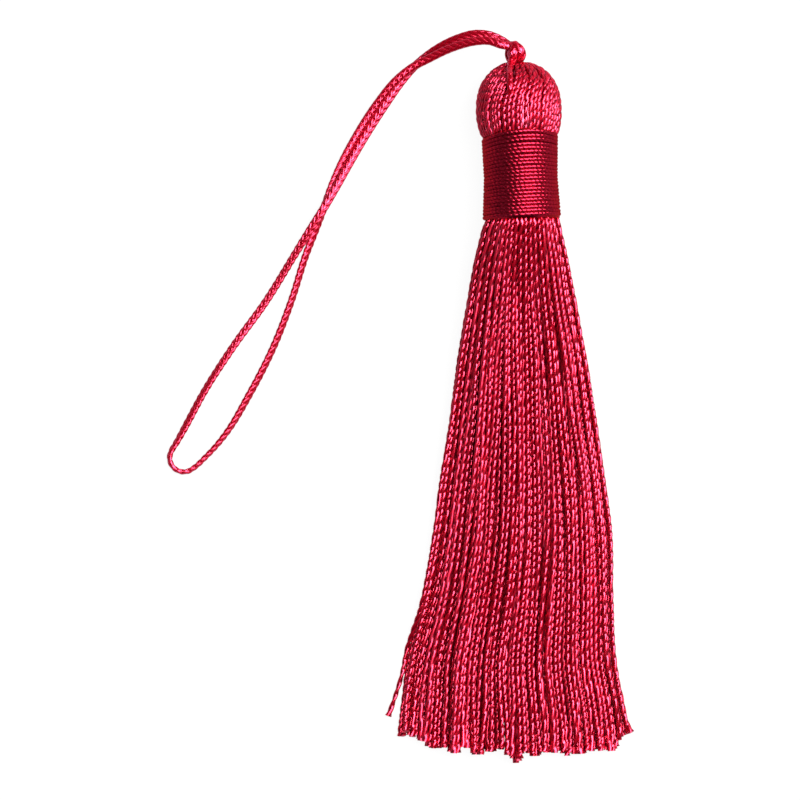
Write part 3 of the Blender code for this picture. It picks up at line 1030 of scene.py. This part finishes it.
def plaited(name, path, cord, rolls=None, pressed=None, finer=None):
    """The plaited cord along a path, pressed to a share of its sizes or finer where asked."""
    values = {
        "Plait Width": cord.width,
        "Plait Thickness": cord.thickness,
        "Strand Width": cord.strand,
        "Turn Length": cord.turn,
    }
    for setting, share in (pressed or {}).items():
        values[setting] *= share
    values.update(finer or {})
    guide = guide_curve(f"{name}_guide", [path], "Z_UP", rolls)
    return grown(name, guide, "plait", "plait_silk", values)


class TASSEL_OT_hanging_loop(bpy.types.Operator):
    """Plait the free cord along its route."""

    bl_idname = "tassel.hanging_loop"
    bl_label = "Make Hanging Loop"

    def execute(self, context):
        cord = context.scene.tassel_cord
        path = smooth_path((KNOT_ENTRY, *LOOP_ROUTE, KNOT_RETURN), 0.5)
        shares, rolls = zip(*CORD_ROLL)
        roll = np.radians(np.interp(np.linspace(0, 1, len(path)), shares, rolls))
        piece = plaited("plaited_loop", path, cord, [roll])
        dress(piece, "hanging_loop")
        return {"FINISHED"}


def filled_middle():
    """A small ball of pressed cord inside the knot, which closes the gaps between its wraps."""
    work = bmesh.new()
    bmesh.ops.create_icosphere(work, subdivisions=3, radius=1.0)
    for corner in work.verts:
        places = zip(KNOT_MIDDLE, KNOT_MIDDLE_RADII, corner.co)
        corner.co = Vector([(middle + radius * out) * MM for middle, radius, out in places])
    return moulded("knot_middle", work, "plait_silk")


class TASSEL_OT_knot(bpy.types.Operator):
    """Tie the cord in a small overhand knot on top of the head."""

    bl_idname = "tassel.knot"
    bl_label = "Make Knot"

    def execute(self, context):
        path = smooth_path(KNOT_ROUTE, 0.2)
        wraps = plaited("knot_wraps", path, context.scene.tassel_cord)
        piece = joined("plaited_knot", [wraps, filled_middle()])
        dress(piece, "cord_knot")
        return {"FINISHED"}


class TASSEL_OT_head_loop(bpy.types.Operator):
    """Lay the cord's short stretch on the ball, down to where it goes in between the threads."""

    bl_idname = "tassel.head_loop"
    bl_label = "Make Head Loop"

    def execute(self, context):
        cord = context.scene.tassel_cord
        path = smooth_path(HEAD_LOOP, 0.3)
        piece = plaited("plaited_head_loop", path, cord, pressed=PRESSED, finer=FINER)
        dress(piece, "head_loop")
        return {"FINISHED"}


# ---- stage

# The softbox: its middle, and its width and height, in metres.
KEY_PLACE = (0.25, 0.15, 0.57)
KEY_SIZE = (0.40, 0.68)
SENSOR_WIDTH = 36
# The place that the camera looks straight down on.
VIEW_MIDDLE = (-0.01282, 0.00040)
# The floor is a light table: it glows, and shadows hardly show on it.
FLOOR_COLOUR = (0.03, 0.03, 0.03)
FLOOR_GLOW = 0.94


class TASSEL_OT_stage(bpy.types.Operator):
    """Set the floor, the soft light and the camera."""

    bl_idname = "tassel.stage"
    bl_label = "Make Stage"

    def execute(self, context):
        stage = context.scene.tassel_stage
        floor_material = bpy.data.materials.new("pale_floor")
        floor_material.use_nodes = True
        shader = floor_material.node_tree.nodes["Principled BSDF"]
        sockets = {
            "Base Color": (*FLOOR_COLOUR, 1),
            "Emission Color": (1, 1, 1, 1),
            "Emission Strength": FLOOR_GLOW,
            "Roughness": 0.9,
            "Specular IOR Level": 0.1,
        }
        for socket, value in sockets.items():
            shader.inputs[socket].default_value = value
        half = stage.floor_size / 2
        mesh = bpy.data.meshes.new("floor")
        corners = [(-half, -half, 0), (half, -half, 0), (half, half, 0), (-half, half, 0)]
        mesh.from_pydata(corners, [], [(0, 1, 2, 3)])
        mesh.materials.append(floor_material)
        floor = kept("floor", mesh)

        camera_data = bpy.data.cameras.new("camera")
        camera_data.sensor_width = SENSOR_WIDTH
        distance = stage.camera_height - AXIS_HEIGHT * MM
        camera_data.lens = SENSOR_WIDTH * distance / stage.view_width
        camera_data.clip_start = 0.01
        camera_data.clip_end = 20
        camera = kept("camera", camera_data)
        camera.location = (*VIEW_MIDDLE, stage.camera_height)
        context.scene.camera = camera

        world = bpy.data.worlds.new("studio")
        world.use_nodes = True
        back = world.node_tree.nodes["Background"]
        back.inputs["Color"].default_value = (1, 1, 1, 1)
        back.inputs["Strength"].default_value = stage.fill_strength
        context.scene.world = world
        data = bpy.data.lights.new("key_softbox", "AREA")
        data.shape = "RECTANGLE"
        data.size, data.size_y = KEY_SIZE
        data.energy = stage.key_power
        lamp = kept("key_softbox", data)
        lamp.location = KEY_PLACE
        lamp.rotation_euler = Vector(KEY_PLACE).to_track_quat("Z", "Y").to_euler()
        context.scene.view_settings.view_transform = "Standard"
        return {"FINISHED"}


class TASSEL_OT_materials(bpy.types.Operator):
    """Make the node trees that the pieces grow by, and the silk's three looks."""

    bl_idname = "tassel.materials"
    bl_label = "Make Silk"

    def execute(self, context):
        scene = context.scene
        twisted_thread_tree()
        plait_tree()
        group = silk_fibre_group()
        settings = (scene.tassel_threads, scene.tassel_binding, scene.tassel_cord)
        for colours, (name, look) in zip(settings, SILK_LOOKS.items()):
            silk(name, group, colours, *look)
        return {"FINISHED"}


class TASSEL_PT_panel(bpy.types.Panel):
    """Lists the tassel's settings and the steps that make it."""

    bl_label = "Silk Tassel"
    bl_idname = "TASSEL_PT_panel"
    bl_space_type = "VIEW_3D"
    bl_region_type = "UI"
    bl_category = "Tassel"

    def draw(self, context):
        for group in SETTINGS:
            settings = getattr(context.scene, group)
            for name in settings.__annotations__:
                self.layout.prop(settings, name)
        for step in STEPS:
            self.layout.operator(step.bl_idname)


SETTINGS = {
    "tassel_stage": TasselStageSettings,
    "tassel_threads": TasselThreadSettings,
    "tassel_binding": TasselBindingSettings,
    "tassel_cord": TasselCordSettings,
}
STEPS = (
    TASSEL_OT_stage,
    TASSEL_OT_materials,
    TASSEL_OT_hanging_loop,
    TASSEL_OT_knot,
    TASSEL_OT_head_loop,
    TASSEL_OT_head,
    TASSEL_OT_binding,
    TASSEL_OT_skirt,
)


def register():
    for settings in SETTINGS.values():
        bpy.utils.register_class(settings)
    for step in (*STEPS, TASSEL_PT_panel):
        bpy.utils.register_class(step)
    for name, settings in SETTINGS.items():
        setattr(bpy.types.Scene, name, PointerProperty(type=settings))


def unregister():
    for name in SETTINGS:
        delattr(bpy.types.Scene, name)
    for step in (TASSEL_PT_panel, *reversed(STEPS)):
        bpy.utils.unregister_class(step)
    for settings in SETTINGS.values():
        bpy.utils.unregister_class(settings)


def main():
    register()
    bpy.ops.tassel.stage()
    bpy.ops.tassel.materials()
    bpy.ops.tassel.hanging_loop()
    bpy.ops.tassel.knot()
    bpy.ops.tassel.head_loop()
    bpy.ops.tassel.head()
    bpy.ops.tassel.binding()
    bpy.ops.tassel.skirt()


if __name__ == "__main__":
    main()
